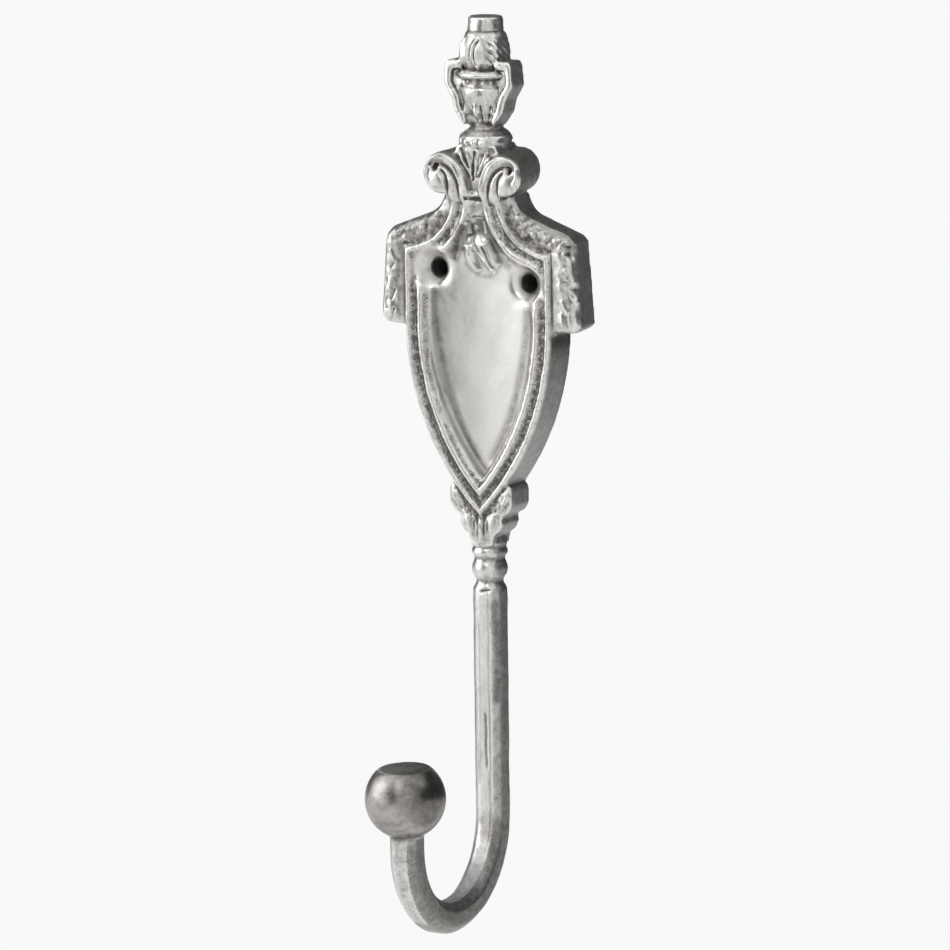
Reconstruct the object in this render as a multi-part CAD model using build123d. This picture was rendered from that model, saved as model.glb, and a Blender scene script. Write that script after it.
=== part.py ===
from build123d import *
import os
from math import cos, radians, sin, tan

# Decorative wall hook, one casting: an urn finial, two outward volutes, a framed shield with two
# hanging drops, a leaf collar, a turned knop and a faceted stem that ends in a ball-tipped hook.
# Millimetres. The wall is the plane Y = 0, the front faces -Y and +Z is up.
# The origin is on the wall, midway between the two screw holes.

# Shield and its frame, seen from the front
FRONT = 11.0
PANEL_FLOOR = 6.4
PANEL_MIDDLE = 7.0
PANEL_DIP = 1.3
PANEL_LEAN = 1.4
PANEL_SLOPE = 8
PANEL_HALF = 13.9
PANEL_TOP = 1.5
PANEL_TIP = -49.0
PANEL_SHOULDER = (10.1, -32.0)
PANEL_SWEEP = (6.35, 6.3)
PANEL_HEAD = (1.4, 14.6)
SHIELD_HALF = 20.4
SHIELD_TOP = 6.8
SHIELD_STRAIGHT_END = -8.0
SHIELD_SHOULDER = (15.3, -37.0)
SHIELD_TIP = -59.0
SWEEP_MID = (10.7, 10.9)
NECK_HALF = 6.9
NECK_TOP = 19.4
NECK_HIDDEN = 30.0
BAND_WIDTH = 1.9
GROOVE_WIDTH = 1.3
INNER_WIDTH = 2.2
BAND_RISE = 1.3
RIDGE_TAPER = 25

# Shoulders and drops beside the shield
DROP_BASE = 8.6
DROP_FRONT = 9.5
DROP_FLARE = 4.0
WAIST = (9.2, 20.2)
WAIST_MID = (10.7, 16.8)
SHOULDER_INNER = (14.2, 14.5)
SHOULDER_OUTER = (24.2, 10.7)
DROP_CORNER = (25.7, 9.2)
DROP_BOTTOM_HALF = 27.3
DROP_BOTTOM = -12.0
DROP_INNER = 20.6
LEAF_RISE = 1.0
LEAF_ROOT = 0.4
LEAF_SHAPE = ((0.3, 1.0), (0.72, 0.75))
FLUTE_SHAPE = ((0.5, 0.6), (0.85, 1.0))
HUSK_COUNT = 5
HUSK_SIZE = (5.2, 3.5)
HUSK_STEP = 3.7
HUSK_RISE = 0.7
SPRIG_COUNT = 4
SPRIG_SIZE = (4.6, 2.4)
PENDANT_FLOOR = 8.3
BERRY_RADIUS = 0.9
BERRIES = ((-1.3, 17.3), (-2.0, 15.6), (-0.6, 15.4), (-1.4, 13.8), (-1.1, 12.1))

# Volutes and the fan between them
VOLUTE_CENTRE = (8.7, 25.3)
VOLUTE_RADIUS = 5.1
VOLUTE_BACK = (7.0, 26.0)
VOLUTE_BACK_RADIUS = 5.5
VOLUTE_FRONT = 12.7
VOLUTE_BEVEL = 0.7
VOLUTE_BAND_FRONT = 12.3
SCROLL_WIDTH = 1.6
OUTER_SCROLL = ((4.4, 17.8), (4.3, 21.5), (5.2, 24.6), (7.3, 27.0), (9.9, 28.0), (11.7, 26.9))
INNER_SCROLL = ((7.2, 17.8), (6.7, 21.5), (7.3, 24.2), (8.9, 26.0))
EYE = (10.5, 26.6)
EYE_RADIUS = 1.1
CREST_FRONT = 10.2
FAN_FOOT = 23.0
FAN_LENGTH = 8.2
FAN_WIDTH = 2.0
FAN_STEP = 15.0

# Finial, turned about its own upright axis and flat against the wall
FINIAL_AXIS = 4.5
HANDLE_FRONT = 8.9
HANDLE_BACK = 2.2
HANDLE_WEB = 7.0
BEAD_SIZE = (0.7, 1.0)
BEAD_RING = 5.6
BEAD_HEIGHT = 47.4
EGG_SIZE = (1.05, 0.9)
EGG_RING = 5.6
EGG_HEIGHT = 31.9
RING_STEP = 21.0

# Screw holes, drilled by hand and not quite level
HOLE_X = 12.6
HOLE_UNEVEN = 1.3
HOLE_RADIUS = 2.2
SINK_RADIUS = 4.7
SINK_FLOOR = 6.6

# Collar, knop, stem and hook
COLLAR_FRONT = 9.8
STEM_AXIS = 5.5
STEM_WIDTH = 7.8
STEM_CHAMFER = 2.1
STEM_TOP = -77.0
BEND_START = -132.5
BACK_BEND = 22.5
FRONT_BEND = 19.3
BALL_RADIUS = 9.9
BALL_CENTRE = (0, -47.9, -122.5)
BALL_CUT = 7.6
BALL_LEAN = 5.0


def outline_face(edges):
    """A closed outline drawn in X and Z, as a face on the wall plane."""
    return make_face(Plane.XZ * (Curve() + edges))


def raised(face, start, end, taper=0):
    """A face carried from one distance off the wall to another, with sloping sides."""
    return extrude(Pos(0, -start, 0) * face, amount=end - start, dir=(0, -1, 0), taper=taper)


def both_sides(solid):
    """A solid with its mirror image across the middle plane."""
    return solid + mirror(solid, about=Plane.YZ)


def inset(face, distance):
    """An outline moved inwards, with its corners kept sharp."""
    return offset(face, amount=-distance, kind=Kind.INTERSECTION)


def leaf(foot, length, width, angle, floor, rise=LEAF_RISE, shape=LEAF_SHAPE):
    """A chased leaf with bevelled sides, from its foot along an angle above +X."""
    along = Vector(cos(radians(angle)), sin(radians(angle))) * length
    across = Vector(-sin(radians(angle)), cos(radians(angle))) * (width / 2)
    start = Vector(*foot)
    left = [start + along * part + across * spread for part, spread in shape]
    right = [start + along * part - across * spread for part, spread in reversed(shape)]
    outline = Polyline(start, *left, start + along, *right, close=True)
    return raised(outline_face([outline]), floor - LEAF_ROOT, floor + rise, taper=30)


def shield_outline():
    """The frame's outer edge: pointed foot, straight sides and a concave sweep into the neck."""
    edges = [Line((-NECK_HALF, NECK_HIDDEN), (NECK_HALF, NECK_HIDDEN))]
    for side in (-1, 1):
        half = side * SHIELD_HALF
        neck = side * NECK_HALF
        shoulder = (side * SHIELD_SHOULDER[0], SHIELD_SHOULDER[1])
        sweep_mid = (side * SWEEP_MID[0], SWEEP_MID[1])
        edges.append(ThreePointArc((0, SHIELD_TIP), shoulder, (half, SHIELD_STRAIGHT_END)))
        edges.append(Line((half, SHIELD_STRAIGHT_END), (half, SHIELD_TOP)))
        edges.append(ThreePointArc((half, SHIELD_TOP), sweep_mid, (neck, NECK_TOP)))
        edges.append(Line((neck, NECK_TOP), (neck, NECK_HIDDEN)))
    return outline_face(edges)


def panel_outline():
    """The recessed field inside the inner ridge, up to its narrow head under the bar."""
    edges = [Line((-PANEL_HEAD[0], PANEL_HEAD[1]), PANEL_HEAD)]
    for side in (-1, 1):
        half = side * PANEL_HALF
        shoulder = (side * PANEL_SHOULDER[0], PANEL_SHOULDER[1])
        edges.append(ThreePointArc((0, PANEL_TIP), shoulder, (half, SHIELD_STRAIGHT_END)))
        edges.append(Line((half, SHIELD_STRAIGHT_END), (half, PANEL_TOP)))
        sweep_mid = (side * PANEL_SWEEP[0], PANEL_SWEEP[1])
        edges.append(ThreePointArc((half, PANEL_TOP), sweep_mid, (side * PANEL_HEAD[0], PANEL_HEAD[1])))
    return outline_face(edges)


def shield():
    """Wall block with a dished panel inside two ridges and the groove between them."""
    outline = shield_outline()
    inner_edge = BAND_WIDTH + GROOVE_WIDTH
    panel_edge = inner_edge + INNER_WIDTH
    floor = FRONT - BAND_RISE
    body = raised(outline, 0, floor)
    outer_band = outline - inset(outline, BAND_WIDTH)
    inner_band = inset(outline, inner_edge) - inset(outline, panel_edge)
    for band in (outer_band, inner_band):
        body += raised(band, floor, FRONT, taper=RIDGE_TAPER)
    pocket = raised(panel_outline(), PANEL_FLOOR, FRONT - 0.6, taper=-PANEL_SLOPE)
    dish_radius = (PANEL_HALF**2 + PANEL_DIP**2) / (2 * PANEL_DIP)
    dish = Pos(0, -PANEL_MIDDLE, SHIELD_SHOULDER[1]) * Rot(PANEL_LEAN, 0, 0)
    dish = dish * Pos(0, -dish_radius, 0) * Cylinder(dish_radius, 200)
    return split(body - (pocket & dish), Plane.XY.offset(NECK_TOP), keep=Keep.BOTTOM)


def drop():
    """Shoulder and hanging drop of the right side, with its sprigs and husks."""
    behind_frame = Polyline(
        (DROP_INNER - 1, DROP_BOTTOM - 0.6), (17.6, 4.6), (9.2, 8.6), (4.8, 15), (4.8, WAIST[1]), WAIST,
    )
    edges = [
        behind_frame,
        ThreePointArc(WAIST, WAIST_MID, SHOULDER_INNER),
        Polyline(SHOULDER_INNER, SHOULDER_OUTER, DROP_CORNER, (DROP_BOTTOM_HALF, DROP_BOTTOM + 1)),
        Line((DROP_BOTTOM_HALF, DROP_BOTTOM + 1), (DROP_BOTTOM_HALF - 1, DROP_BOTTOM)),
        Line((DROP_BOTTOM_HALF - 1, DROP_BOTTOM), (DROP_INNER - 1, DROP_BOTTOM - 0.6)),
    ]
    face = outline_face(edges)
    body = raised(face, 0, DROP_BASE, taper=-DROP_FLARE)
    body += raised(face, DROP_BASE, DROP_FRONT, taper=20)
    for index in range(HUSK_COUNT):
        x = 23.4 + index * 0.35
        z = 9.6 - index * HUSK_STEP
        body += leaf((x, z), *HUSK_SIZE, -74, DROP_FRONT, HUSK_RISE)
        body += leaf((x - 0.2, z - 1.4), *HUSK_SIZE, -104, DROP_FRONT, HUSK_RISE)
    for index in range(SPRIG_COUNT):
        x = 10.6 + index * 3.1
        z = 14.0 - index * 1.5
        body += leaf((x, z), *SPRIG_SIZE, -14, DROP_FRONT, HUSK_RISE)
        body += leaf((x + 0.6, z - 0.5), *SPRIG_SIZE, -44, DROP_FRONT, HUSK_RISE)
    return body


def disc(centre, radius, depth):
    """A flat round section at a distance off the wall."""
    return Plane.XZ.offset(depth) * Pos(*centre) * Circle(radius)


def scroll_cut(points, size):
    """A V-shaped groove along a smooth line through points on the volutes' front."""
    path = Plane.XZ.offset(VOLUTE_FRONT) * Spline(*points)
    across = Plane(origin=path @ 0, x_dir=(0, -1, 0), z_dir=path % 0)
    return sweep(across * Rot(0, 0, 45) * Rectangle(size, size), path=path)


def volute():
    """Outward scroll of the right side: the inner band curled round a leaning drum, two grooves, an eye."""
    shoulder = VOLUTE_FRONT - VOLUTE_BEVEL
    rim = disc(VOLUTE_CENTRE, VOLUTE_RADIUS, shoulder)
    body = loft([disc(VOLUTE_BACK, VOLUTE_BACK_RADIUS, 0), rim], ruled=True)
    body += raised(disc(VOLUTE_CENTRE, VOLUTE_RADIUS, 0), shoulder, VOLUTE_FRONT, taper=45)
    band = [
        (5.2, 18.4), (1.5, 18.4), (1.5, 21.4), (2.0, 24.2), (3.0, 26.8), (4.8, 29.0), (8.0, 29.6),
        (8.0, 22.0), (6.9, 18.4),
    ]
    body += raised(outline_face([Polyline(*band, close=True)]), 0, VOLUTE_BAND_FRONT)
    body -= scroll_cut(OUTER_SCROLL, SCROLL_WIDTH)
    body -= scroll_cut(INNER_SCROLL, SCROLL_WIDTH * 0.75)
    pit = [disc(EYE, EYE_RADIUS / 2, shoulder - 0.6), disc(EYE, EYE_RADIUS, VOLUTE_FRONT + 1)]
    return body - loft(pit, ruled=True)


def crest():
    """Block between the volutes, with a fan of flutes above and a short bar at its foot."""
    edges = Polyline((-7, 19), (7, 19), (7, 28), (5.4, 32.4), (-5.4, 32.4), (-7, 28), close=True)
    body = raised(outline_face([edges]), 0, CREST_FRONT)
    for index in range(-2, 3):
        angle = 90 + index * FAN_STEP
        body += leaf((0, FAN_FOOT), FAN_LENGTH, FAN_WIDTH, angle, CREST_FRONT, shape=FLUTE_SHAPE)
    bar = Pos(0, -FRONT / 2, NECK_TOP + 0.9) * Box(7.2, FRONT, 1.6)
    return body + bar


def pendant():
    """Three uneven leaves under a chain of berries, at the head of the panel."""
    body = leaf((-1.0, 11.2), 11.4, 4.4, -62, PENDANT_FLOOR, 1.4)
    body += leaf((-1.6, 10.8), 8.6, 3.8, -104, PENDANT_FLOOR, 1.1)
    body += leaf((-2.0, 11.6), 6.8, 3.4, -128, PENDANT_FLOOR, 0.8)
    for x, z in BERRIES:
        berry = Plane.XZ * Pos(x, z) * RegularPolygon(BERRY_RADIUS, 6)
        body += raised(berry, PENDANT_FLOOR - LEAF_ROOT, FRONT - 1, taper=14)
    return body


def turned(profile, axis, z_end):
    """A solid turned about an upright axis in front of the wall, from radius and height pairs."""
    rim = Polyline((0, profile[0][1]), *profile, (0, z_end), close=True)
    return Pos(0, -axis, 0) * revolve(make_face(Plane.XZ * rim), Axis.Z)


def bead_ring(size, ring, height):
    """Faceted beads round the front of the finial."""
    turns = [radians(60 * index) for index in range(6)]
    corners = [(size[0] * sin(turn), height + size[1] * cos(turn)) for turn in turns]
    bead = raised(outline_face([Polyline(*corners, close=True)]), ring - 0.8, ring + 0.6, taper=18)
    beads = [Rot(0, 0, index * RING_STEP) * bead for index in range(-3, 4)]
    return Pos(0, -FINIAL_AXIS, 0) * Compound(beads)


def finial():
    """Urn with a bell-shaped top, a beaded rim, two angular handles and an egg-moulded foot."""
    profile = [
        (4.2, 63.4), (4.3, 60.5), (5.1, 58.7), (5.9, 55.6), (5.9, 52.6), (4.8, 50.6),
        (6.8, 50.2), (7.1, 49.3), (6.7, 48.5), (5.7, 48.2), (5.7, 46.7), (6.2, 46.3),
        (6.1, 44.4), (5.1, 41.2), (3.7, 38.6), (3.1, 37.5), (3.6, 36.6), (5.6, 35.2),
        (6.4, 33.9), (6.5, 33.2), (5.7, 32.6), (5.7, 31.2), (6.4, 30.7), (6.4, 29.8),
    ]
    body = turned(profile, FINIAL_AXIS, 29.8)
    strap = [
        (4.5, 52.8), (8.5, 52.9), (9.3, 51.6), (9.6, 47.0), (7.5, 43.4), (6.7, 40.2),
        (4.3, 36.9), (3.4, 38.0), (5.0, 41.0), (5.6, 44.0), (7.7, 47.3), (7.4, 50.4), (4.5, 51.0),
    ]
    web = strap[:7] + [(0, 36.9), (0, 52.8)]
    handle = raised(outline_face([Polyline(*strap, close=True)]), HANDLE_BACK, HANDLE_FRONT)
    handle += raised(outline_face([Polyline(*web, close=True)]), HANDLE_BACK, HANDLE_WEB)
    body += both_sides(handle)
    body += bead_ring(BEAD_SIZE, BEAD_RING, BEAD_HEIGHT)
    body += bead_ring(EGG_SIZE, EGG_RING, EGG_HEIGHT)
    for angle in (-50, 0, 50):
        blade = leaf((0, 51.2), 7.6, 3.6, 90, 5.3, 1.0)
        body += Pos(0, -FINIAL_AXIS, 0) * Rot(0, 0, angle) * blade
        petal = leaf((0, 38.2), 6.4, 3.2, 90, 4.6, 1.0)
        body += Pos(0, -FINIAL_AXIS, 0) * Rot(0, 0, angle) * petal
    return body


def collar():
    """Leaf collar under the shield's tip, with a standing leaf block at each side."""
    half = [
        (8.2, -51), (8.7, -52), (8.7, -56), (7.6, -57.8), (5.6, -58.8), (6.0, -60.6),
        (5.0, -62.6), (3.4, -63.6), (3.0, -66.2),
    ]
    other = [(-x, z) for x, z in reversed(half)]
    body = raised(outline_face([Polyline(*half, *other, close=True)]), 0.8, COLLAR_FRONT)
    leaves = leaf((8.2, -51.5), 6.5, 3.2, -118, COLLAR_FRONT - 0.3)
    leaves += leaf((3.6, -57.0), 8.0, 3.0, -98, COLLAR_FRONT - 0.3)
    return body + both_sides(leaves) + leaf((0, -58.5), 7.6, 2.6, -90, COLLAR_FRONT - 0.3, 1.2)


def knop():
    """Turned knop: double ring, bulb, neck and the flare that runs into the stem."""
    profile = [
        (3.4, -64.0), (4.3, -65.3), (4.3, -66.3), (3.8, -66.8), (4.5, -67.4), (4.5, -68.5),
        (3.7, -69.2), (3.8, -70.0), (4.4, -71.2), (4.5, -72.3), (4.2, -73.6), (3.2, -74.9),
        (3.3, -75.6), (4.0, -76.8), (4.0, -77.8),
    ]
    return turned(profile, STEM_AXIS, -77.8)


def stem():
    """Faceted bar down the wall, round two tangent bends and up to the ball."""
    low = BEND_START - BACK_BEND
    toe = -STEM_AXIS - BACK_BEND - FRONT_BEND
    slope = sin(radians(45))
    path = Wire([
        Line((0, -STEM_AXIS, STEM_TOP), (0, -STEM_AXIS, BEND_START)),
        ThreePointArc(
            (0, -STEM_AXIS, BEND_START),
            (0, -STEM_AXIS - BACK_BEND * (1 - slope), BEND_START - BACK_BEND * slope),
            (0, -STEM_AXIS - BACK_BEND, low),
        ),
        ThreePointArc(
            (0, -STEM_AXIS - BACK_BEND, low),
            (0, toe + FRONT_BEND * (1 - slope), low + FRONT_BEND * (1 - slope)),
            (0, toe, low + FRONT_BEND),
        ),
        Line((0, toe, low + FRONT_BEND), (0, toe, BALL_CENTRE[2])),
    ])
    square = Rectangle(STEM_WIDTH, STEM_WIDTH)
    section = chamfer(square.vertices(), STEM_CHAMFER)
    return sweep(Plane(origin=path @ 0, z_dir=path % 0) * section, path=path)


def ball():
    """Ball tip with its top dressed flat, leaning a little to the front."""
    top = Pos(0, 0, BALL_CUT + BALL_RADIUS / 2) * Box(30, 30, BALL_RADIUS)
    return Pos(*BALL_CENTRE) * Rot(BALL_LEAN, 0, 0) * (Sphere(BALL_RADIUS) - top)


def screw_hole(x, z):
    """Countersunk hole through the plate, as the turned tool that cuts it."""
    mouth = SINK_FLOOR + SINK_RADIUS - HOLE_RADIUS
    profile = [
        (0, -1), (HOLE_RADIUS, -1), (HOLE_RADIUS, SINK_FLOOR), (SINK_RADIUS, mouth),
        (SINK_RADIUS + 0.4, VOLUTE_FRONT), (0, VOLUTE_FRONT),
    ]
    cutter = revolve(make_face(Plane.XZ * Polyline(*profile, close=True)), Axis.Z)
    return Pos(x, 0, z) * Rot(90, 0, 0) * cutter


def hook_casting():
    """The whole hook, one solid."""
    plate = shield() + both_sides(drop())
    plate = plate - screw_hole(-HOLE_X, HOLE_UNEVEN) - screw_hole(HOLE_X, -HOLE_UNEVEN)
    top = split(crest() + finial(), Plane.XZ, keep=Keep.TOP)
    body = plate + both_sides(volute()) + pendant() + top
    return body + collar() + knop() + stem() + ball()


os.makedirs("parts", exist_ok=True)
export_step(hook_casting(), "parts/hook_casting.step")
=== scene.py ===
from math import cos, pi, radians, sin

import bpy
import numpy as np
from mathutils import Matrix, Vector


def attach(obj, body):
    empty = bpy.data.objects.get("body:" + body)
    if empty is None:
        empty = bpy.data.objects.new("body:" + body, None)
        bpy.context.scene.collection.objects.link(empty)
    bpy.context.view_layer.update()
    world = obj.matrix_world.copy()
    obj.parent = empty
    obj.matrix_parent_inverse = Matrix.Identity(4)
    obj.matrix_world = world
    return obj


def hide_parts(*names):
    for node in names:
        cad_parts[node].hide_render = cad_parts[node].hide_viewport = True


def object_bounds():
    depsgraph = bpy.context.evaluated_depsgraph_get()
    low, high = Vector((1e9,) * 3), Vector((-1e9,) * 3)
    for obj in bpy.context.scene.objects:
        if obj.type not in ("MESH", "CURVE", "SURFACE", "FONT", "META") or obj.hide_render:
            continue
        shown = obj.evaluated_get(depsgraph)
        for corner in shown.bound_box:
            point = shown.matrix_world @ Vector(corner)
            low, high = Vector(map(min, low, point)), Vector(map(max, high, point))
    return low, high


MM = 0.001
IMAGE = 950                       # the photograph's width and height, in pixels

# The camera fitted to the photograph: angles in degrees, lengths in mm, scale in pixels a mm.
AZIMUTH, ELEVATION, ROLL = 29.98, 8.8, 0.709
DISTANCE = 2407.0
PIXELS_PER_MM = 4.1
AIM = Vector((0, -8, -39.9))
AIM_OFFSET = (-2.037, -8.917)     # from AIM to the picture's middle: right and up

# The surface mesh: the size of its cells in mm, and how many triangles are kept.
VOXEL = 0.27
TRIANGLES = 190000

# Rounds of smoothing: for worn edges, for run-together forms, and for telling fine and broad hollows.
SOFT_ROUNDS = 30
SOFTER_ROUNDS = 60
FINE_ROUNDS = 12
BROAD_ROUNDS = 60

# Where parts of the casting lie, in mm. The wall is at y 0, and the front is towards -y.
FRONT = 11.0                      # from the wall to the front of the shield's bands
FINIAL_AXIS = 4.5                 # from the wall to the middle of the urn
EGG_RING = 6.8                    # radius of the band of eggs
FINIAL_FOOT = 34.4                # height at which the urn starts
COLLAR_FOOT = -66                 # height at which the shield and its collar end
HOLES = ((-12.6, 1.3), (12.6, -1.3))
HOLE_DISC = 2.6
BALL = np.array([0, -47.9, -122.5])

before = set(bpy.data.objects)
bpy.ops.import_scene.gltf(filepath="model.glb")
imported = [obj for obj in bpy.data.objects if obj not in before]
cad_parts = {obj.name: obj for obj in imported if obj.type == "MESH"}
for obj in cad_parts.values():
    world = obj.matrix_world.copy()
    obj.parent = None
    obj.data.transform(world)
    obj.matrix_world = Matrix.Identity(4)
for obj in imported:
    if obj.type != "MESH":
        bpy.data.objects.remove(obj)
cad_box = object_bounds()
BOX = [np.array(corner) / MM for corner in cad_box]


# Mesh work.

def new_object(name, mesh):
    """Links a mesh to the scene as an object at the origin."""
    made = bpy.data.objects.new(name, mesh)
    bpy.context.scene.collection.objects.link(made)
    return made


def bake_modifiers(obj):
    """Applies the object's modifiers to its mesh."""
    graph = bpy.context.evaluated_depsgraph_get()
    mesh = bpy.data.meshes.new_from_object(obj.evaluated_get(graph))
    obj.modifiers.clear()
    old = obj.data
    obj.data = mesh
    bpy.data.meshes.remove(old)


def points(mesh):
    co = np.empty(len(mesh.vertices) * 3, np.float32)
    mesh.vertices.foreach_get("co", co)
    return co.reshape(-1, 3).astype(float)


def normals(mesh):
    no = np.empty(len(mesh.vertices) * 3, np.float32)
    mesh.vertex_normals.foreach_get("vector", no)
    return no.reshape(-1, 3).astype(float)


def write_points(mesh, co):
    mesh.vertices.foreach_set("co", co.astype(np.float32).ravel())
    mesh.update()


def edges(mesh):
    e = np.empty(len(mesh.edges) * 2, np.int32)
    mesh.edges.foreach_get("vertices", e)
    return e.reshape(-1, 2)


def smoothed(values, pairs, rounds, amount=0.5):
    """Laplacian smoothing of points or numbers over the mesh's edges."""
    a, b = pairs[:, 0], pairs[:, 1]
    count = np.bincount(a, minlength=len(values)) + np.bincount(b, minlength=len(values))
    count = np.maximum(count, 1)
    flat = values.ndim == 1
    out = values[:, None].copy() if flat else values.copy()
    for _ in range(rounds):
        total = np.empty_like(out)
        for k in range(out.shape[1]):
            total[:, k] = np.bincount(a, out[b, k], len(out)) + np.bincount(b, out[a, k], len(out))
        out += amount * (total / count[:, None] - out)
    return out[:, 0] if flat else out


def store(mesh, name, values):
    """Keeps one number a vertex for the material to read."""
    made = mesh.attributes.new(name, "FLOAT", "POINT")
    made.data.foreach_set("value", values.astype(np.float32))


def cast_copy(node, name):
    """A finely and evenly meshed copy of a CAD node."""
    copy = new_object(name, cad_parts[node].data.copy())
    remesh = copy.modifiers.new("remesh", "REMESH")
    remesh.mode = "VOXEL"
    remesh.voxel_size = VOXEL * MM
    bake_modifiers(copy)
    return copy


def thinned(obj, triangles):
    """Takes the mesh down to a number of triangles, flat stretches first."""
    obj.data.calc_loop_triangles()
    ratio = triangles / len(obj.data.loop_triangles)
    if ratio < 1:
        decimate = obj.modifiers.new("decimate", "DECIMATE")
        decimate.ratio = ratio
        bake_modifiers(obj)


def smoothstep(a, b, v):
    t = np.clip((v - a) / (b - a), 0, 1)
    return t * t * (3 - 2 * t)


def lattice(i, j, k, seed):
    """A repeatable number from 0 to 1 for each whole-number point."""
    h = (i * 374761393 + j * 668265263 + k * 1440662683 + seed * 1274126177) & 0xFFFFFFFF
    h = ((h ^ (h >> 13)) * 1274126177) & 0xFFFFFFFF
    return ((h ^ (h >> 16)) & 0xFFFF) / 65535.0


def noise(q, size, seed):
    """Smooth noise from -1 to 1 over points in mm."""
    cell = np.floor(q / size).astype(np.int64)
    t = q / size - cell
    t = t * t * (3 - 2 * t)
    out = np.zeros(len(q))
    for dx in (0, 1):
        for dy in (0, 1):
            for dz in (0, 1):
                weight = ((t[:, 0] if dx else 1 - t[:, 0]) * (t[:, 1] if dy else 1 - t[:, 1])
                          * (t[:, 2] if dz else 1 - t[:, 2]))
                out += weight * lattice(cell[:, 0] + dx, cell[:, 1] + dy, cell[:, 2] + dz, seed)
    return out * 2 - 1


def curve(corners, rounds=3):
    """Corners cut into a smooth line."""
    line = np.array(corners, float)
    for _ in range(rounds):
        a, b = line[:-1], line[1:]
        cut = np.stack([a * 0.75 + b * 0.25, a * 0.25 + b * 0.75], 1).reshape(-1, 2)
        line = np.vstack([line[:1], cut, line[-1:]])
    return line


def distance(x, z, corners):
    """Distance of points to a smooth line, and how far along it from 0 to 1."""
    line = curve(corners)
    best = np.full(len(x), 1e9)
    along = np.zeros(len(x))
    steps = len(line) - 1
    for index in range(steps):
        (ax, az), (bx, bz) = line[index], line[index + 1]
        ux, uz = bx - ax, bz - az
        t = np.clip(((x - ax) * ux + (z - az) * uz) / (ux * ux + uz * uz + 1e-12), 0, 1)
        d = np.hypot(x - ax - t * ux, z - az - t * uz)
        nearer = d < best
        best = np.where(nearer, d, best)
        along = np.where(nearer, (index + t) / steps, along)
    return best, along


def stroke(x, z, corners, width, height, ends=0.12):
    """A rounded ridge, or with a negative height a groove, that fades out at its ends."""
    d, along = distance(x, z, corners)
    profile = np.clip(1 - (d / (width / 2)) ** 2, 0, 1) ** 1.5
    fade = smoothstep(0, ends, along) * smoothstep(0, ends, 1 - along)
    return height * profile * fade


def dome(x, z, centre, radius, height):
    """A rounded boss, or with a negative height a dent."""
    d = np.hypot(x - centre[0], z - centre[1]) / radius
    return height * np.clip(1 - d * d, 0, 1) ** 1.2


def blade(x, z, foot, tip, width, height, slit=0.0):
    """A leaf that swells between its foot and its tip, with an optional slit down its middle."""
    foot, tip = np.array(foot, float), np.array(tip, float)
    length = np.linalg.norm(tip - foot)
    u = (tip - foot) / length
    along = ((x - foot[0]) * u[0] + (z - foot[1]) * u[1]) / length
    across = np.abs((x - foot[0]) * -u[1] + (z - foot[1]) * u[0])
    half = width / 2 * np.sin(pi * np.clip(along, 0, 1) ** 0.8) + 1e-6
    body = np.clip(1 - (across / half) ** 2, 0, 1) * ((along > 0) & (along < 1))
    cut = np.exp(-(across / 0.28) ** 2) * smoothstep(0.1, 0.3, along) * smoothstep(1, 0.75, along)
    return height * body - slit * cut * (body > 0)


def gathered(kind, x, z, items):
    """The heights of several strokes, domes or blades, added up."""
    h = np.zeros(len(x))
    for item in items:
        h += kind(x, z, *item)
    return h


# Relief on the front, in mm: x to the right and z up, then a width or radius and a height. Strokes
# may end with how much of their length fades out at each end. SCROLLS, CURL and SHOULDERS are
# cut on both sides alike.
SCROLLS = [
    ([(4.0, 17.5), (4.0, 21.5), (4.7, 24.2), (6.4, 26.2), (8.4, 27.4), (10.3, 27.4), (10.9, 26.4)],
     1.1, -0.3, 0.06),
    ([(7.1, 19.5), (7.1, 23.7), (7.5, 25.3), (9.2, 26.6)], 0.9, -0.35, 0.1),
    ([(1.6, 21.5), (2.6, 25.2), (4.4, 28.2), (7.0, 30.2), (9.4, 30.2), (12.2, 28.6), (12.9, 25.6),
      (11.8, 22.9)], 1.2, 0.4, 0.08),
]
CURL = [((9.7, 23.9), 2.6, 0.45), ((10.1, 26.8), 1.2, -0.6)]
FAN = [
    ([(-0.6, 24.0), (-2.4, 27.2), (-4.4, 30.2)], 0.9, 0.45),
    ([(-0.9, 25.2), (-1.6, 28.2), (-2.4, 31.2)], 0.8, 0.4),
    ([(-0.5, 23.6), (-0.9, 26.4), (0.2, 31.2)], 0.8, -0.6),
    ([(-0.2, 24.6), (0.5, 27.4), (1.2, 31.4)], 0.8, 0.4),
    ([(0.6, 25.0), (2.2, 28.0), (3.4, 30.8)], 0.8, 0.35),
    ([(-1.6, 26.6), (-3.1, 29.2), (-4.2, 31.6)], 0.7, -0.4),
]
EGGS = [
    ((-5.0, 33.2), 1.0, 0.4), ((-2.5, 33.0), 1.1, 0.55), ((0.0, 32.9), 1.1, 0.55),
    ((2.5, 32.9), 1.1, 0.55), ((5.2, 33.1), 1.0, 0.4),
]
BAR_SLOT = [([(-3.0, 19.3), (-0.5, 19.2), (2.2, 19.4)], 1.7, -0.8)]
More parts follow.
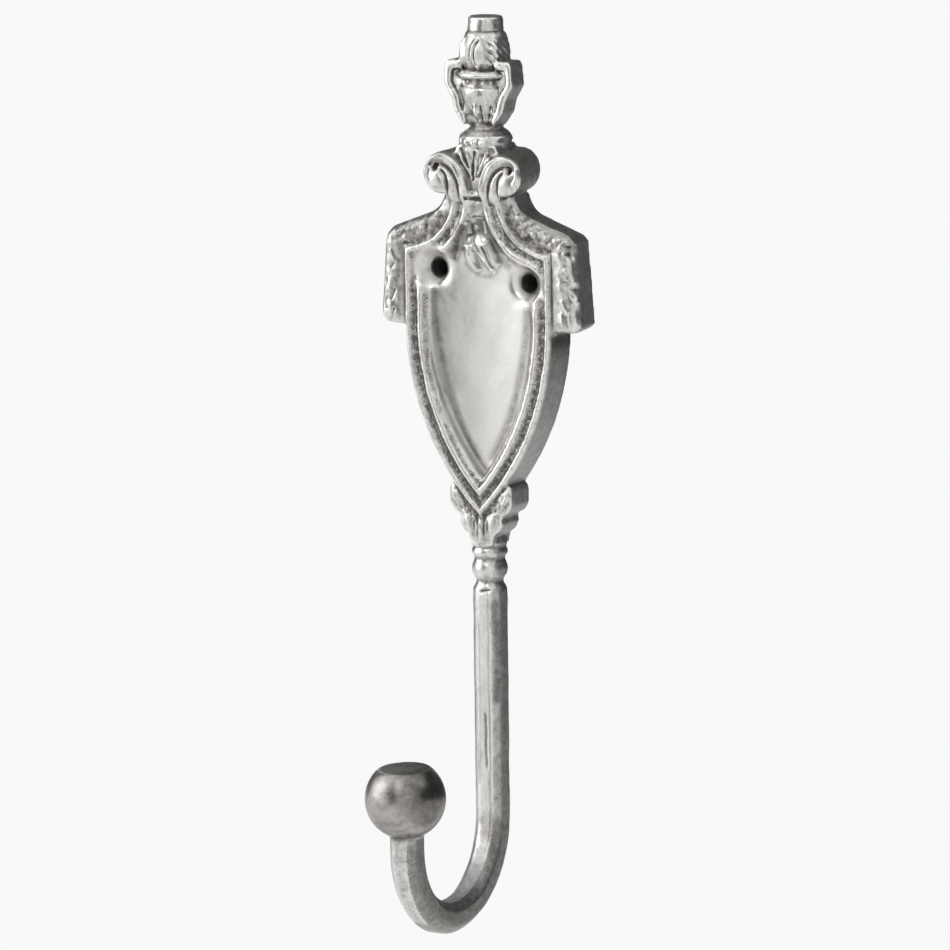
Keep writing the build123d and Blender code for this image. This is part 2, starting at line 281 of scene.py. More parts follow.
PENDANT = [
    ([(-2.0, 8.0), (0.3, 4.4), (4.0, 0.9)], 1.3, 0.4),
    ([(0.7, 7.6), (1.6, 5.7), (2.3, 3.6), (3.2, 1.9)], 0.9, -0.5),
    ([(-3.0, 7.6), (-3.3, 4.6), (-0.9, 1.0)], 3.2, 0.32),
    ([(-2.9, 6.6), (-2.7, 5.2)], 0.7, -0.18),
    ([(1.6, 8.6), (3.4, 5.5), (5.3, 3.0)], 2.6, 0.22),
    ([(-2.3, 9.6), (-2.1, 8.0)], 1.5, 0.25),
    ([(-2.8, 13.2), (-2.5, 10.4)], 1.6, 0.4),
    ([(-4.0, 12.0), (-5.6, 8.6), (-7.4, 4.4)], 1.4, -0.3),
    ([(-6.0, 8.2), (-7.6, 6.6)], 1.2, 0.2),
    ([(1.2, 13.6), (1.8, 10.6)], 1.0, 0.2),
]
DROP_HEIGHT = 0.6                 # scales the heights of the two drops' marks
LEFT_DROP = [
    ([(-25.5, -6.2), (-26.2, -7.8), (-25.8, -9.2)], 1.1, -0.34),
    ([(-23.5, -8.7), (-24.0, -10.5), (-24.8, -12.2)], 1.1, -0.34),
    ([(-23.2, -4.0), (-23.7, -5.6), (-24.4, -6.8)], 1.1, -0.31),
    ([(-23.3, 2.5), (-24.2, 0.9)], 1.1, -0.28),
    ([(-25.6, -1.2), (-25.9, -3.3)], 0.9, -0.28),
    ([(-24.6, 5.6), (-23.4, 3.0)], 1.5, 0.25),
    ([(-24.6, -7.0), (-24.9, -11.0)], 2.2, 0.22),
    ([(-24.6, -1.0), (-24.9, -4.6)], 2.2, 0.22),
]
RIGHT_DROP = [
    ([(23.2, -4.4), (24.0, -6.3), (25.6, -7.8)], 1.2, 0.31),
    ([(25.9, -2.6), (26.1, -4.0)], 0.9, -0.31),
    ([(23.8, 0.2), (25.3, 0.0)], 1.1, -0.31),
    ([(24.7, 3.6), (25.6, 1.9)], 1.9, 0.28),
    ([(23.7, 6.6), (24.3, 5.0)], 1.1, -0.28),
    ([(25.0, 7.4), (25.8, 5.2)], 1.5, 0.25),
    ([(24.6, -8.0), (25.2, -11.0)], 1.1, -0.25),
    ([(23.2, -7.4), (23.5, -10.6)], 1.6, 0.22),
    ([(22.8, 1.0), (23.0, -2.4)], 1.6, 0.19),
    ([(25.2, -0.8), (26.2, -3.0)], 1.4, 0.22),
]
SHOULDERS = [
    ((11.5, 15.2), 1.0, 0.4), ((15.4, 12.9), 1.0, 0.5), ((15.5, 10.9), 0.9, 0.45),
    ((17.8, 11.5), 1.0, 0.45), ((20.3, 8.8), 0.9, 0.4), ((13.2, 13.6), 0.9, 0.4),
    ((19.6, 11.0), 1.0, 0.4), ((22.0, 10.2), 1.1, 0.4),
]
STEM_MARKS = [
    ([(0.4, -107), (0.8, -112), (0.6, -116), (0.9, -122)], 0.7, -0.2, 0.2),
    ([(-0.7, -77.5), (0.8, -77.2), (2.2, -77.2)], 1.1, -0.4, 0.3),
    ([(-0.9, -78.4), (0.8, -78.3), (2.4, -78.2)], 0.9, 0.2, 0.3),
    ([(-1.8, -80), (-1.5, -96), (-2.0, -128)], 1.2, -0.1, 0.2),
]
# Waves of the right drop's front edge: height on the drop, push to the right, and reach.
EDGE_WAVES = (
    (9.0, -0.9, 2.0), (6.6, -1.0, 1.3), (0.3, 0.4, 1.1), (-1.6, -0.35, 0.8), (-4.6, 0.8, 1.3),
)

# Grime and painted shade, as strokes with its strength in place of a height: the strokes round the
# pendant and down the stem's right side are painted shade.
GRIME_AND_SHADE = [
    ([(-3.6, 13.0), (-5.4, 8.8), (-7.7, 3.5)], 3.6, 0.9),
    ([(0.9, 7.6), (2.6, 4.0), (3.6, 2.0)], 1.6, 0.9),
    ([(2.6, 9.5), (4.4, 5.4), (8.7, 2.4)], 3.6, 0.65),
    ([(-4.5, 3.4), (-1.0, 0.0), (3.4, 0.2)], 1.6, 0.55),
    ([(2.6, -79), (3.4, -88), (3.0, -106)], 2.6, 0.9),
    ([(-9.8, 1.2), (-10.6, -1.4), (-12.0, -2.9)], 1.8, 0.9),
    ([(13.4, -3), (12.9, -14), (10.6, -25), (7.0, -36), (1.6, -46)], 4.0, 0.75),
    ([(-13.0, -3), (-12.4, -14), (-10.4, -25), (-6.8, -36), (-1.6, -46)], 2.4, 0.6),
    ([(-3.4, -80), (-3.2, -100), (-3.4, -128)], 1.3, 0.7),
    ([(-1.2, -84), (-1.0, -100), (-1.4, -126)], 0.9, 0.5),
]

# Leaves, folds and rings of the finial, with the way round it in place of x.
UNROLLED = 5.5                    # mm round the finial for each radian
FINIAL_LEAVES = [
    ((0.6, 50.6), (0.9, 59.6), 4.4, 0.5), ((-4.6, 50.8), (-4.2, 58.4), 3.4, 0.3),
    ((6.0, 50.8), (5.6, 58.4), 3.4, 0.3), ((2.4, 37.4), (2.6, 43.2), 1.6, 0.35, 0.3),
    ((0.4, 37.4), (-0.2, 42.6), 1.3, 0.3, 0.25), ((4.4, 37.4), (5.0, 42.6), 1.3, 0.3, 0.25),
]
FINIAL_FOLDS = [
    ([(0.3, 51.6), (0.1, 54.4), (0.5, 57.0), (1.2, 58.0)], 0.7, -0.55),
    ([(-0.9, 37.6), (-1.0, 41.8)], 0.6, -0.3),
    ([(1.4, 37.6), (1.3, 42.2)], 0.6, -0.3),
    ([(3.6, 37.6), (3.9, 42.0)], 0.6, -0.3),
]
FINIAL_RINGS = (
    (59.8, 0.3, 0.35), (50.2, 0.5, 0.4), (48.5, 0.35, 0.3), (46.2, 0.25, 0.3), (35.9, 0.3, 0.25),
)

# Leaves of the collar from foot to tip: those across the front, then those of its blocks.
COLLAR_LEAVES = [
    ((0.2, -58.0), (0.2, -62.6), 1.9, 0.3, 0.25), ((2.2, -58.6), (1.6, -64.4), 1.9, 0.3, 0.25),
    ((-2.0, -58.6), (-1.4, -64.4), 1.9, 0.3, 0.25), ((-4.4, -57.6), (-2.9, -64.4), 1.9, 0.3, 0.25),
    ((4.4, -57.6), (2.9, -64.4), 1.9, 0.3, 0.25),
]
BLOCK_LEAF = ((7.8, -51.6), (4.6, -58.4), 3.0, 0.3, 0.3)


def shield_relief(q):
    """Chasing of the shield, its drops and the volutes, as heights in mm."""
    x, y, z = q.T
    m = np.abs(x)
    h = np.zeros(len(x))
    head = z > 17.5
    h[head] += gathered(stroke, m[head], z[head], SCROLLS) + gathered(dome, m[head], z[head], CURL)
    crest = head & (m < 7.5)
    cx, cz = x[crest], z[crest]
    h[crest] += gathered(stroke, cx, cz, FAN + BAR_SLOT) + gathered(dome, cx, cz, EGGS)
    panel = (m < 10) & (z < 18) & (z > 0)
    h[panel] += gathered(stroke, x[panel], z[panel], PENDANT)
    left, right = x < -22, x > 22
    h[left] += DROP_HEIGHT * gathered(stroke, x[left], z[left], LEFT_DROP)
    h[right] += DROP_HEIGHT * gathered(stroke, x[right], z[right], RIGHT_DROP)
    shoulder = (z > 7) & (z < 18) & (m > 9)
    h[shoulder] += gathered(dome, m[shoulder], z[shoulder], SHOULDERS)
    foliage = shoulder * smoothstep(-10.4, -9.8, y) + 0.35 * (m > 22)
    return h + foliage * (0.14 * noise(q, 1.7, 5) + 0.12 * noise(q, 0.9, 6))


def finial_relief(angle, z):
    """Leaves, beads and folds round the finial, as heights in mm; the angle is 0 to the front."""
    a = angle * UNROLLED
    h = gathered(blade, a, z, FINIAL_LEAVES)
    h += gathered(stroke, a, z, FINIAL_FOLDS)
    hatch = smoothstep(2.6, 3.6, a) * smoothstep(51, 52, z) * smoothstep(58.5, 57, z)
    h += 0.14 * np.sin(a * 3.0 + z * 3.2) * hatch
    for level, depth, width in FINIAL_RINGS:
        h -= depth * np.exp(-((z - level) / width) ** 2)
    return h


def collar_relief(x, z):
    """Leaves below the point of the shield, as heights in mm."""
    return gathered(blade, x, z, COLLAR_LEAVES) + blade(np.abs(x), z, *BLOCK_LEAF)


def brought_forward(q, amount, level):
    """Moves the surface out towards a level in front of the wall, by an amount from 0 to 1."""
    short = np.maximum(q[:, 1] - level, 0)
    q[:, 1] -= short * amount


def joined(q, n):
    """The casting with its parts run together: bands into the frame, the webs and the crest filled."""
    x, y, z = q.T.copy()
    m = np.abs(x)
    out = q.copy()
    neck = (z > 14) & (z < 21) & (y < -FRONT) & (m < 9)
    out[neck, 1] = -FRONT + (y[neck] + FRONT) * smoothstep(16.6, 21.0, z[neck])
    front = smoothstep(0.3, 0.7, -n[:, 1]) * (y < -4)
    crest = smoothstep(3.4, 2.8, m) * smoothstep(19.0, 20.0, z) * smoothstep(25, 24, z)
    brought_forward(out, front * crest, -10.7)
    handles = (m < 9.2) * smoothstep(37, 38.5, z) * smoothstep(51.5, 50, z)
    brought_forward(out, front * handles * 0.8, -8.1)
    under_bar = (m < 6.5) * smoothstep(14.0, 15.0, z) * smoothstep(18.6, 18.2, z)
    brought_forward(out, front * under_bar, -9.6)
    drop = smoothstep(20.8, 21.8, m) * smoothstep(-13.5, -12.5, z) * smoothstep(12.0, 10.0, z)
    brought_forward(out, front * drop * 0.85, -10.0)
    r = np.hypot(x, y + FINIAL_AXIS)
    ring = (z > 30.6) & (z < 34.6) & (y < -FINIAL_AXIS) & (r > 2) & (r < EGG_RING)
    out[ring, 0] = x[ring] * EGG_RING / r[ring]
    out[ring, 1] = (y[ring] + FINIAL_AXIS) * EGG_RING / r[ring] - FINIAL_AXIS
    return out


def softness(q):
    """How far each point gives way to a much softer form, from 0 to 1."""
    x, y, z = q.T
    m = np.abs(x)
    w = np.full(len(q), 0.42)

    def at_least(amount):
        np.maximum(w, amount, out=w)

    for hx, hz in HOLES:
        d = np.hypot(x - hx, z - hz)
        at_least(0.95 * smoothstep(7.6, 5.4, d) * smoothstep(2.5, 3.3, d) * (y < -5))
    at_least(1.0 * smoothstep(12.0, 9.5, m) * (z < 4) * (z > -50) * (y > -9.6) * (y < -5))
    at_least(1.0 * on_drops(q))
    at_least(0.8 * smoothstep(8.5, 9.5, m) * (m < 20.5) * (z < 8) * (z > -58) * (y < -9.6))
    at_least(0.75 * (m > 9) * (z > 8) * (z < 18) * (y < -8))
    at_least(0.8 * smoothstep(4.2, 3.2, m) * (z > 18) * (z < 32))
    at_least(0.9 * smoothstep(15.2, 16.4, z) * smoothstep(20.4, 19.0, z) * (y < -9))
    at_least(0.95 * on_pendant(q))
    at_least(0.5 * smoothstep(28.5, 30, z) * smoothstep(36, 35, z))
    w *= 1 - 0.5 * smoothstep(-78, -80, z)
    ball = smoothstep(11.5, 10.5, np.linalg.norm(q - BALL, axis=1))
    crisp = smoothstep(36, 37, z) + smoothstep(-65, -66, z) * smoothstep(-79, -77, z)
    return w * (1 - ball) * (1 - 0.5 * np.clip(crisp, 0, 1)) + 0.15 * ball


def on_drops(q):
    """1 on the front of the two side drops."""
    x, y, z = q.T
    return smoothstep(19.8, 21.2, np.abs(x)) * (y < -8) * (z > -14) * (z < 16)


def on_pendant(q):
    """1 on the ornament in the head of the panel."""
    x, y, z = q.T
    m = np.abs(x)
    inside = np.maximum((m < 7.5) * (y > -10.8), (m < 3.4 + 0.35 * (12 - z)) * (y > -12.5))
    return inside * (z > -1) * smoothstep(16, 14, z) * (y < -7.5)


def settled(q, n, pairs):
    """The casting softened by its mould, more in some places than in others."""
    q = joined(smoothed(q, pairs, 4), n)
    q = smoothed(q, pairs, 2)
    soft = smoothed(q, pairs, SOFT_ROUNDS)
    softer = smoothed(soft, pairs, SOFTER_ROUNDS)
    x, y, z = q.T
    sinks = near_hole(q, 7.6) * (1 - near_hole(q, 3.5)) * (y < -5)
    neck = smoothstep(14.0, 15.5, z) * smoothstep(21.0, 19.0, z) * (np.abs(x) < 9.5) * (y < -9)
    worn = np.maximum.reduce([0.7 * on_drops(q), 0.8 * on_pendant(q), 0.9 * sinks, 0.85 * neck])
    return q + (soft - q) * softness(q)[:, None] + (softer - soft) * worn[:, None]


def sculpt(q, n):
    """The surface in mm, moved by the relief that a chaser and a rough cast leave."""
    x, y, z = q.T
    front = smoothstep(0.25, 0.75, -n[:, 1])
    move = np.zeros(len(q))
    plate = (z < FINIAL_FOOT) & (z > -62) & (y < -6)
    move[plate] += shield_relief(q[plate]) * front[plate]
    low = (z < -50) & (z > COLLAR_FOOT) & (y < -6)
    move[low] += collar_relief(x[low], z[low]) * front[low]
    out = q.copy()
    out[:, 1] -= move
    top = (z > FINIAL_FOOT) & (np.hypot(x, y + FINIAL_AXIS) < 7.6) & (y < -1)
    angle = np.arctan2(x[top], -(y[top] + FINIAL_AXIS))
    radial = np.stack([np.sin(angle), -np.cos(angle)], 1)
    facing = np.clip(n[top, 0] * radial[:, 0] + n[top, 1] * radial[:, 1], 0, 1)
    out[top, :2] += radial * (finial_relief(angle, z[top]) * facing)[:, None]
    # The wavy front edge of the right drop.
    edge = smoothstep(22.5, 26.0, x) * smoothstep(-6.5, -9.0, y) * (z > -13) * (z < 9)
    waves = sum(push * np.exp(-((z - level) / reach) ** 2) for level, push, reach in EDGE_WAVES)
    out[:, 0] += edge * (-0.1 + waves)
    on_stem = (z < -72) & (z > -133) & (y < -6) & (y > -20)
    xs, zs = x[on_stem], z[on_stem]
    out[on_stem, 1] -= gathered(stroke, xs, zs, STEM_MARKS) * front[on_stem]
    # The unevenness of a hand-finished casting.
    rough = 0.09 * noise(q, 5.0, 1) + 0.035 * noise(q, 2.0, 2) * (1 - panel_mask(q))
    aged = smoothstep(28, 34, z) + smoothstep(-50, -56, z) * smoothstep(-80, -76, z)
    rough += aged * (0.05 * noise(q, 1.3, 7) + 0.04 * noise(q, 0.7, 8))
    grain = 0.055 * ground_mask(q) * front + 0.012
    rough += grain * noise(q, 0.75, 3) + grain * noise(q, 0.5, 4)
    quiet = 1 - smoothstep(10.6, 9.9, np.linalg.norm(q - BALL, axis=1)) * 0.6
    return out + n * (rough * quiet)[:, None]


def near_hole(q, reach):
    """1 round the screw holes, out to a distance in mm."""
    d = [np.hypot(q[:, 0] - hx, q[:, 2] - hz) for hx, hz in HOLES]
    return smoothstep(reach, reach - 1.5, np.minimum(*d))


def panel_mask(q):
    """1 on the smooth hollow of the panel and in the countersinks."""
    x, y, z = q.T
    inside = smoothstep(-9.5, -9.2, y) * (y < -5) * (np.abs(x) < 15) * (z < 6) * (z > -50)
    return np.maximum(inside, near_hole(q, 6.0))


def ground_mask(q):
    """1 on the granular ground between and inside the mouldings."""
    x, y, z = q.T
    low = smoothstep(-10.9, -10.5, y) * smoothstep(-9.3, -9.6, y)
    return low * (np.abs(x) < 20) * (z < 16) * (z > -58) * (1 - near_hole(q, 6.5))


def grime_and_painted_shade(q, n, side, ball):
    """How much grime and painted shade each point carries, from 0 to 1: grime and painted shade in the
    listed marks, grime in the foliage, painted shadow under the right drop, and painted shade on the
    right-facing stem, round the bend and on both sides of the ball.
    """
    x, y, z = q.T
    to_right, to_wall, up = n.T
    rise = z - BALL[2]
    marks = np.clip(gathered(stroke, x, z, GRIME_AND_SHADE), 0, 1) * (to_wall < -0.1) * ((y < -6) & (y > -20))
    foliage = (z > 8) * (z < 18) * (np.abs(x) > 8) * smoothstep(-11.2, -10.4, y) * (1 - side)
    # Painted shadow on the side wall under the right drop.
    under_drop = (x > 14) * smoothstep(-20, -15, z) * (z < -12) * side
    # Painted shade on the stem's right-facing faces.
    stem_side = (z <= COLLAR_FOOT) * smoothstep(0.55, 0.9, to_right) * (1 - ball)
    # Painted shade at the bend: on its right-facing faces and on the faces under it.
    bend = smoothstep(-131, -135, z) * (1 - ball)
    underside = smoothstep(-43, -40, y) * smoothstep(0.2, -0.2, up) * smoothstep(-0.9, -0.3, to_right)
    return np.maximum.reduce([
        marks, 0.45 * foliage, 0.9 * under_drop, 0.6 * stem_side,
        # Painted shade on the ball: darker towards its right side and towards its left side.
        0.75 * ball * smoothstep(1.5, 8.5, x + 0.25 * rise),
        0.6 * ball * smoothstep(-4.5, -9.0, x - 0.2 * rise),
        0.75 * bend * smoothstep(0.4, 0.55, to_right), 0.75 * bend * underside])


def stem_polish_and_highlight(q, n):
    """How bright the front of the stem is made, from 0 to 1: rubbed by use, with a painted highlight
    on its front-facing facets.
    """
    _, y, z = q.T
    facing = smoothstep(0.75, 0.45, n[:, 0]) * smoothstep(-0.7, -0.3, n[:, 0]) * (n[:, 1] < -0.4)
    return 0.7 * facing * smoothstep(-77, -79, z) * smoothstep(-136, -131, z) * (y > -22)


casting = cast_copy("hook_casting", "cast_hook")
mesh = casting.data
pairs = edges(mesh)
start = points(mesh) / MM
q = settled(start, normals(mesh), pairs)
write_points(mesh, q * MM)
q = sculpt(q, normals(mesh))
wall = start[:, 1] > -0.3         # the back stays flat
q[wall, 1] = np.minimum(start[wall, 1], 0)
q = smoothed(q, pairs, 1)
p = np.clip(q, BOX[0], BOX[1]) * MM
write_points(mesh, p)

# How far the surface lies below or above the smoothed form round it, in mm.
no = normals(mesh)
for name, rounds in (("fine", FINE_ROUNDS), ("cavity", BROAD_ROUNDS)):
    store(mesh, name, ((smoothed(p, pairs, rounds) - p) * no).sum(1) / MM)

thinned(casting, TRIANGLES)
mesh = casting.data
mesh.polygons.foreach_set("use_smooth", np.ones(len(mesh.polygons), bool))
q = points(mesh) / MM
n = smoothed(normals(mesh), edges(mesh), 3)
on_shield = q[:, 2] > COLLAR_FOOT
side = smoothstep(0.5, 0.12, -n[:, 1]) * on_shield
side = np.maximum(side, 0.85 * smoothstep(0.6, 0.85, np.abs(n[:, 0])) * ~on_shield)
side = np.maximum(side, smoothstep(0.35, 0.85, n[:, 2]) * (q[:, 2] < -134))
ball = smoothstep(10.5, 10.1, np.linalg.norm(q - BALL, axis=1))
for name, values in (("side", side * (1 - ball)), ("ball", ball), ("panel", panel_mask(q)),
                     # Grime and painted shade, stored as one number.
                     ("ground", ground_mask(q)), ("grime_shade", grime_and_painted_shade(q, n, side, ball)),
                     # Painted shade on the upward-facing sides of the shield.
                     ("upper_shade", smoothstep(0.25, 0.7, n[:, 2]) * side * on_shield),
                     ("polish_highlight", stem_polish_and_highlight(q, n))):
    store(mesh, name, values)

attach(casting, "root")
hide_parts("hook_casting")


# The material.

class Nodes:
    """Short calls for building a node tree."""

    def __init__(self, tree):
        self.tree = tree

    def add(self, kind, **values):
        node = self.tree.nodes.new(kind)
        for name, value in values.items():
            setattr(node, name, value)
        return node

    def put(self, value, socket):
        if isinstance(value, bpy.types.NodeSocket):
            self.tree.links.new(value, socket)
        else:
            socket.default_value = value

    def math(self, operation, a, b=0.0, clamp=False):
        node = self.add("ShaderNodeMath", operation=operation, use_clamp=clamp)
        self.put(a, node.inputs[0])
        self.put(b, node.inputs[1])
        return node.outputs[0]

    def steps(self, value, low, high, out_low=0.0, out_high=1.0):
        node = self.add("ShaderNodeMapRange")
        for socket, given in zip(("Value", "From Min", "From Max", "To Min", "To Max"),
                                 (value, low, high, out_low, out_high)):
            self.put(given, node.inputs[socket])
        return node.outputs[0]

    def mix(self, factor, a, b):
        node = self.add("ShaderNodeMix", data_type="RGBA")
        self.put(factor, node.inputs[0])
        self.put(a, node.inputs[6])
        self.put(b, node.inputs[7])
        return node.outputs[2]

    def noise(self, vector, size_mm, detail=2.0, roughness=0.5):
        node = self.add("ShaderNodeTexNoise")
        self.put(vector, node.inputs["Vector"])
        node.inputs["Scale"].default_value = 1 / (size_mm * MM)
        node.inputs["Detail"].default_value = detail
        node.inputs["Roughness"].default_value = roughness
        return node.outputs[0]

    def number(self, name):
        return self.add("ShaderNodeAttribute", attribute_name=name).outputs["Fac"]

    def blend(self, a, a_share, b, b_share):
        """Two numbers added up by their shares."""
        return self.math("ADD", self.math("MULTIPLY", a, a_share), self.math("MULTIPLY", b, b_share))

    def swing(self, value, amount):
        """A noise taken about its middle and scaled."""
        return self.math("MULTIPLY", self.math("SUBTRACT", value, 0.5), amount)

    def seen_ray(self):
        """1 for rays that show the surroundings: from the camera, in reflections and through glass."""
        path = self.add("ShaderNodeLightPath")
        seen = self.math("MAXIMUM", path.outputs["Is Camera Ray"], path.outputs["Is Glossy Ray"])
        return self.math("MAXIMUM", seen, path.outputs["Is Transmission Ray"])


def colour(r, g, b):
    return (r, g, b, 1.0)


def antique_silver():
    mat = bpy.data.materials.new("antique_silver")
    mat.use_nodes = True
    k = Nodes(mat.node_tree)
    shader = mat.node_tree.nodes["Principled BSDF"]
    where = k.add("ShaderNodeTexCoord").outputs["Object"]
    cavity, fine = k.number("cavity"), k.number("fine")
    side, ball, panel, ground = (k.number(name) for name in ("side", "ball", "panel", "ground"))
    even = k.math("SUBTRACT", 1.0, panel)
    clouds = k.noise(where, 9.0, 3.0, 0.55)
    mottle = k.noise(where, 1.8, 4.0, 0.6)
    grain = k.noise(where, 0.27, 2.0, 0.6)
    long_way = k.add("ShaderNodeMapping")
    k.put(where, long_way.inputs["Vector"])
    long_way.inputs["Scale"].default_value = (1.0, 1.0, 0.16)
    streaks = k.noise(long_way.outputs[0], 1.1, 3.0, 0.6)

    # Silver in soft blotches, brighter where it is polished and brighter still on the stem's front
    # facets, where the brightening is partly a painted highlight.
    blotch = k.steps(k.blend(clouds, 0.5, mottle, 0.5), 0.38, 0.62)
    blotch = k.math("ADD", k.math("MULTIPLY", k.math("SUBTRACT", blotch, 0.6), even), 0.6)
    silver = k.mix(blotch, colour(0.42, 0.408, 0.385), colour(0.68, 0.67, 0.645))
    # Polish of the panel, and polish with a painted highlight on the stem's front facets.
    polish_and_highlight = k.math("MAXIMUM", k.math("MULTIPLY", panel, 0.85), k.number("polish_highlight"))
    silver = k.mix(polish_and_highlight, silver, colour(0.75, 0.738, 0.712))

    # Worn bright on what stands proud.
    proud = k.math("SUBTRACT", k.math("MULTIPLY", cavity, -0.9), k.math("MULTIPLY", fine, 0.5))
    proud = k.math("ADD", proud, k.swing(mottle, 0.1))
    proud = k.math("ADD", proud, k.swing(grain, k.math("MULTIPLY", ground, 0.5)))
    worn = k.steps(proud, 0.0, 0.24)
    silver = k.mix(k.math("MULTIPLY", worn, 0.75), silver, colour(0.88, 0.865, 0.84))

    # Patina in the hollows, then smudges along the casting, then pits.
    hollow = k.math("ADD", k.blend(cavity, 0.5, fine, 1.5), k.swing(mottle, 0.14))
    hollow = k.math("ADD", hollow, k.swing(grain, ground))
    off_panel = k.math("SUBTRACT", 1.0, k.math("MULTIPLY", panel, 0.5))
    patina = k.math("MULTIPLY", k.steps(hollow, 0.02, 0.21), off_panel)
    silver = k.mix(k.math("MULTIPLY", patina, 0.92), silver, colour(0.07, 0.064, 0.054))
    smudge = k.steps(k.blend(streaks, 0.6, mottle, 0.4), 0.54, 0.66)
    smudge = k.math("MULTIPLY", smudge, k.math("MULTIPLY", even, 0.45))
    silver = k.mix(smudge, silver, colour(0.16, 0.152, 0.14))
    speckle = k.blend(grain, 0.6, mottle, 0.4)
    pits = k.steps(speckle, 0.40, 0.45, 0.5, 0.0)
    without_polish_highlight = k.math("SUBTRACT", 1.0, polish_and_highlight)
    silver = k.mix(k.math("MULTIPLY", pits, without_polish_highlight), silver, colour(0.15, 0.142, 0.13))

    # The unpolished skin of the sides, with painted shade that makes their upward faces darker and
    # browner.
    speck = k.steps(k.blend(grain, 0.55, mottle, 0.45), 0.36, 0.64)
    raw = k.mix(speck, colour(0.26, 0.26, 0.257), colour(0.50, 0.497, 0.49))
    # Painted shade: the upward faces darker and browner in streaks.
    brown_top_shade = k.math("MULTIPLY", k.number("upper_shade"), k.steps(streaks, 0.3, 0.7, 1.0, 0.3))
    raw = k.mix(brown_top_shade, raw, colour(0.15, 0.135, 0.115))
    silver = k.mix(k.math("MULTIPLY", side, 0.92), silver, raw)

    # The ball's brown tarnish, then grime and painted shade over everything.
    tarnish = k.steps(k.blend(clouds, 0.6, mottle, 0.4), 0.36, 0.6)
    bronze = k.mix(tarnish, colour(0.19, 0.178, 0.168), colour(0.44, 0.422, 0.405))
    silver = k.mix(k.math("MULTIPLY", ball, 0.9), silver, bronze)
    # Grime and painted shade darken the colour here together, by one stored number.
    caked_and_shaded = k.steps(speckle, 0.34, 0.66, 1.3, 0.55)
    caked_and_shaded = k.math("MULTIPLY", k.math("MULTIPLY", k.number("grime_shade"), caked_and_shaded), 0.9, clamp=True)
    silver = k.mix(caked_and_shaded, silver, colour(0.12, 0.113, 0.10))
    k.put(silver, shader.inputs["Base Color"])
    shader.inputs["Metallic"].default_value = 1.0
    rough = k.math("ADD", 0.24, k.math("MULTIPLY", mottle, 0.16))
    rough = k.math("ADD", rough, k.math("MULTIPLY", k.math("MAXIMUM", patina, side), 0.22))
    k.put(rough, shader.inputs["Roughness"])
    bump = k.add("ShaderNodeBump")
    bump.inputs["Distance"].default_value = 0.12 * MM
    k.put(k.math("ADD", k.math("MULTIPLY", ground, 0.7), 0.14), bump.inputs["Strength"])
    k.put(grain, bump.inputs["Height"])
    k.put(bump.outputs[0], shader.inputs["Normal"])
    return mat


mesh.materials.clear()
mesh.materials.append(antique_silver())


# The stage: floor, backdrop, cards, lamps and world.

def sheet(name, corners):
    """A flat stage object."""
    made = bpy.data.meshes.new(name)
    made.from_pydata([Vector(c) for c in corners], [], [range(len(corners))])
    obj = new_object(name, made)
    return obj


def pale_ground(name):
    """Matt and pale; white to the camera and in reflections, with the object's shadow kept."""
    mat = bpy.data.materials.new(name)
    mat.use_nodes = True
    k = Nodes(mat.node_tree)
    tree = mat.node_tree
    tree.nodes.remove(tree.nodes["Principled BSDF"])
    matt = k.add("ShaderNodeBsdfDiffuse")
    matt.inputs["Color"].default_value = colour(0.85, 0.85, 0.85)
    glow = k.add("ShaderNodeEmission")
    both = k.add("ShaderNodeMixShader")
    k.put(k.math("MULTIPLY", k.seen_ray(), 0.92), both.inputs[0])
    k.put(matt.outputs[0], both.inputs[1])
    k.put(glow.outputs[0], both.inputs[2])
    k.put(both.outputs[0], tree.nodes["Material Output"].inputs["Surface"])
    return mat


def card_material(name, shade):
    mat = bpy.data.materials.new(name)
    mat.use_nodes = True
    shader = mat.node_tree.nodes["Principled BSDF"]
    shader.inputs["Base Color"].default_value = colour(shade, shade, shade)
    shader.inputs["Roughness"].default_value = 0.9
    return mat


def seen_from_front(mat):
    """Lets the material's back show nothing."""
    k = Nodes(mat.node_tree)
    both = k.add("ShaderNodeMixShader")
    k.put(k.add("ShaderNodeNewGeometry").outputs["Backfacing"], both.inputs[0])
    k.put(mat.node_tree.nodes["Principled BSDF"].outputs[0], both.inputs[1])
    k.put(k.add("ShaderNodeBsdfTransparent").outputs[0], both.inputs[2])
    k.put(both.outputs[0], mat.node_tree.nodes["Material Output"].inputs["Surface"])
    return mat


FLOOR_Z = -0.195
BACK_Y = 3.5                      # behind the camera of a view from the back
REACH = 4.0                       # to the sides, to the front and up
paper = pale_ground("pale_ground")
floor = sheet("floor", [(-REACH, -REACH, FLOOR_Z), (REACH, -REACH, FLOOR_Z),
                        (REACH, BACK_Y, FLOOR_Z), (-REACH, BACK_Y, FLOOR_Z)])
backdrop = sheet("backdrop", [(-REACH, BACK_Y, FLOOR_Z), (REACH, BACK_Y, FLOOR_Z),
                              (REACH, BACK_Y, REACH), (-REACH, BACK_Y, REACH)])
for part in (floor, backdrop):
    part.data.materials.append(paper)

# Dark cards that only the metal's reflections see: in front, to the right, behind and to the left.
# Each has its shade, the height of its top, and its two ends as seen from above.
CARD_BOTTOM = -0.19
for name, shade, top, (ax, ay), (bx, by) in (
        ("front_strip", 0.05, 0.3, (-0.22, -0.6), (0.05, -0.6)),
        ("right_card", 0.13, 0.9, (1.2, 0.35), (1.2, -0.45)),
        ("back_card", 0.2, 0.9, (-0.3, 0.35), (1.2, 0.35)),
        ("left_card", 0.4, 0.9, (-0.8, 0.02), (-0.8, 0.75))):
    card = sheet(name, [(ax, ay, CARD_BOTTOM), (bx, by, CARD_BOTTOM), (bx, by, top), (ax, ay, top)])
    card.data.materials.append(card_material(name, shade))
    card.visible_camera = False
    card.visible_shadow = False

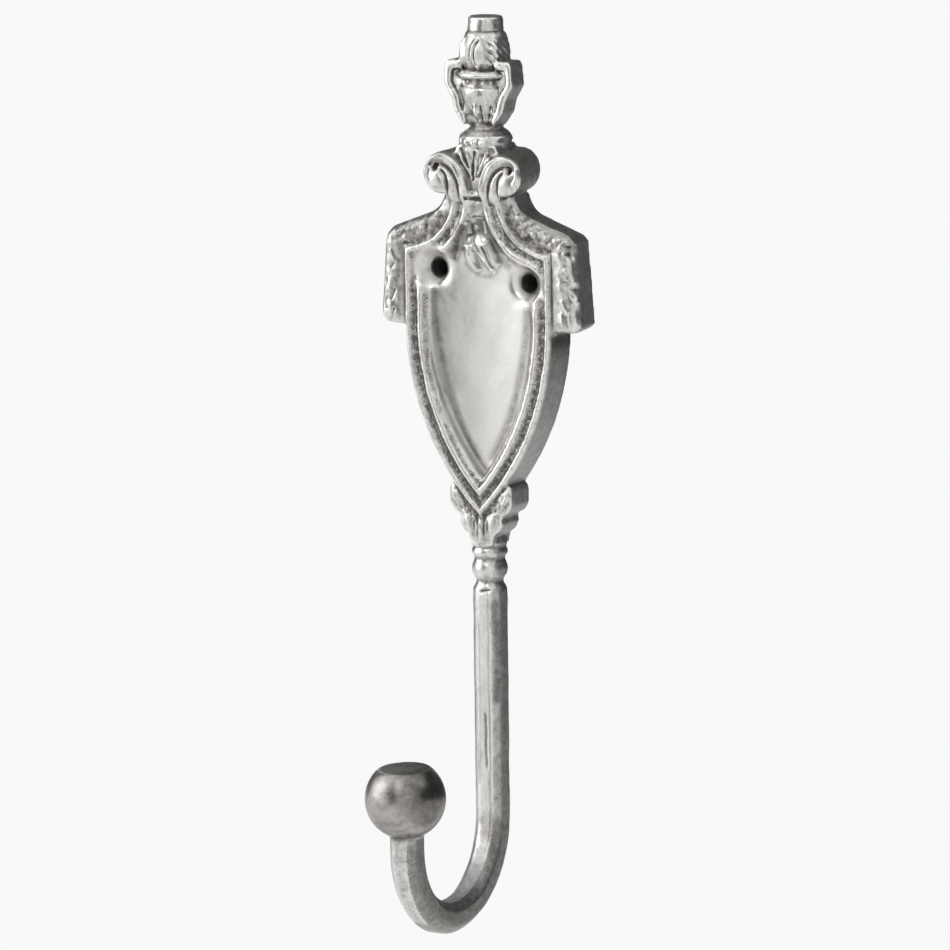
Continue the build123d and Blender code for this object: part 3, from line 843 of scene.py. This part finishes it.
# Painted shade in each screw hole: a dark disc just inside the back of the hole, standing for the wall
# seen through it in shadow.
dark = seen_from_front(card_material("painted_hole_shade", 0.02))
DISC_Y = -0.0004
DISC_CORNERS = 24
turned = [2 * pi * step / DISC_CORNERS for step in range(DISC_CORNERS)]
for name, (x, z) in zip(("left_hole_shade", "right_hole_shade"), HOLES):
    disc = sheet(name, [((x + HOLE_DISC * cos(t)) * MM, DISC_Y, (z + HOLE_DISC * sin(t)) * MM)
                        for t in turned])
    disc.data.materials.append(dark)


def area_lamp(name, place, target, size, power):
    lamp = bpy.data.lights.new(name, "AREA")
    lamp.shape = "RECTANGLE"
    lamp.size, lamp.size_y = size
    lamp.energy = power
    obj = bpy.data.objects.new(name, lamp)
    bpy.context.scene.collection.objects.link(obj)
    obj.location = place
    obj.rotation_mode = "QUATERNION"
    obj.rotation_quaternion = (Vector(target) - Vector(place)).to_track_quat("-Z", "Y")
    return obj


MIDDLE = Vector((0, -0.01, -0.04))


def softbox(name, azimuth, elevation, distance, size, strength, tint=(1, 1, 1)):
    """A lamp at an angle round the object, with its strength as seen in a mirror."""
    a, e = radians(azimuth), radians(elevation)
    place = MIDDLE + Vector((sin(a) * cos(e), -cos(a) * cos(e), sin(e))) * distance
    area_lamp(name, place, MIDDLE, size, strength * pi * size[0] * size[1]).data.color = tint


softbox("key", -56, 16, 1.0, (0.6, 0.7), 2.0)
softbox("top", 6, 40, 1.0, (0.25, 0.25), 3.5)
softbox("window", 88, 38, 1.0, (0.3, 0.3), 1.5, (0.85, 0.92, 1.0))

# White to the camera and in reflections, and dimmer as a light.
AMBIENT = 0.4
world = bpy.data.worlds.new("world")
bpy.context.scene.world = world
world.use_nodes = True
k = Nodes(world.node_tree)
background = world.node_tree.nodes["Background"]
k.put(k.steps(k.seen_ray(), 0.0, 1.0, AMBIENT, 1.0), background.inputs["Strength"])
background.inputs["Color"].default_value = colour(1, 1, 1)


# The camera.

def fitted_camera():
    a, e, roll = radians(AZIMUTH), radians(ELEVATION), radians(ROLL)
    back = Vector((sin(a) * cos(e), -cos(a) * cos(e), sin(e)))
    level = Vector((cos(a), sin(a), 0))
    above = back.cross(level)
    right = level * cos(roll) - above * sin(roll)
    up = level * sin(roll) + above * cos(roll)
    aim = AIM + right * AIM_OFFSET[0] + up * AIM_OFFSET[1]
    data = bpy.data.cameras.new("camera")
    data.sensor_width = 36.0
    data.lens = PIXELS_PER_MM * DISTANCE / IMAGE * data.sensor_width
    data.clip_start, data.clip_end = 0.1, 20.0
    camera = bpy.data.objects.new("camera", data)
    bpy.context.scene.collection.objects.link(camera)
    camera.matrix_world = Matrix.Translation((aim + back * DISTANCE) * MM) @ Matrix(
        (right, up, back)).transposed().to_4x4()
    bpy.context.scene.camera = camera


fitted_camera()
bpy.context.scene.view_settings.view_transform = "Standard"
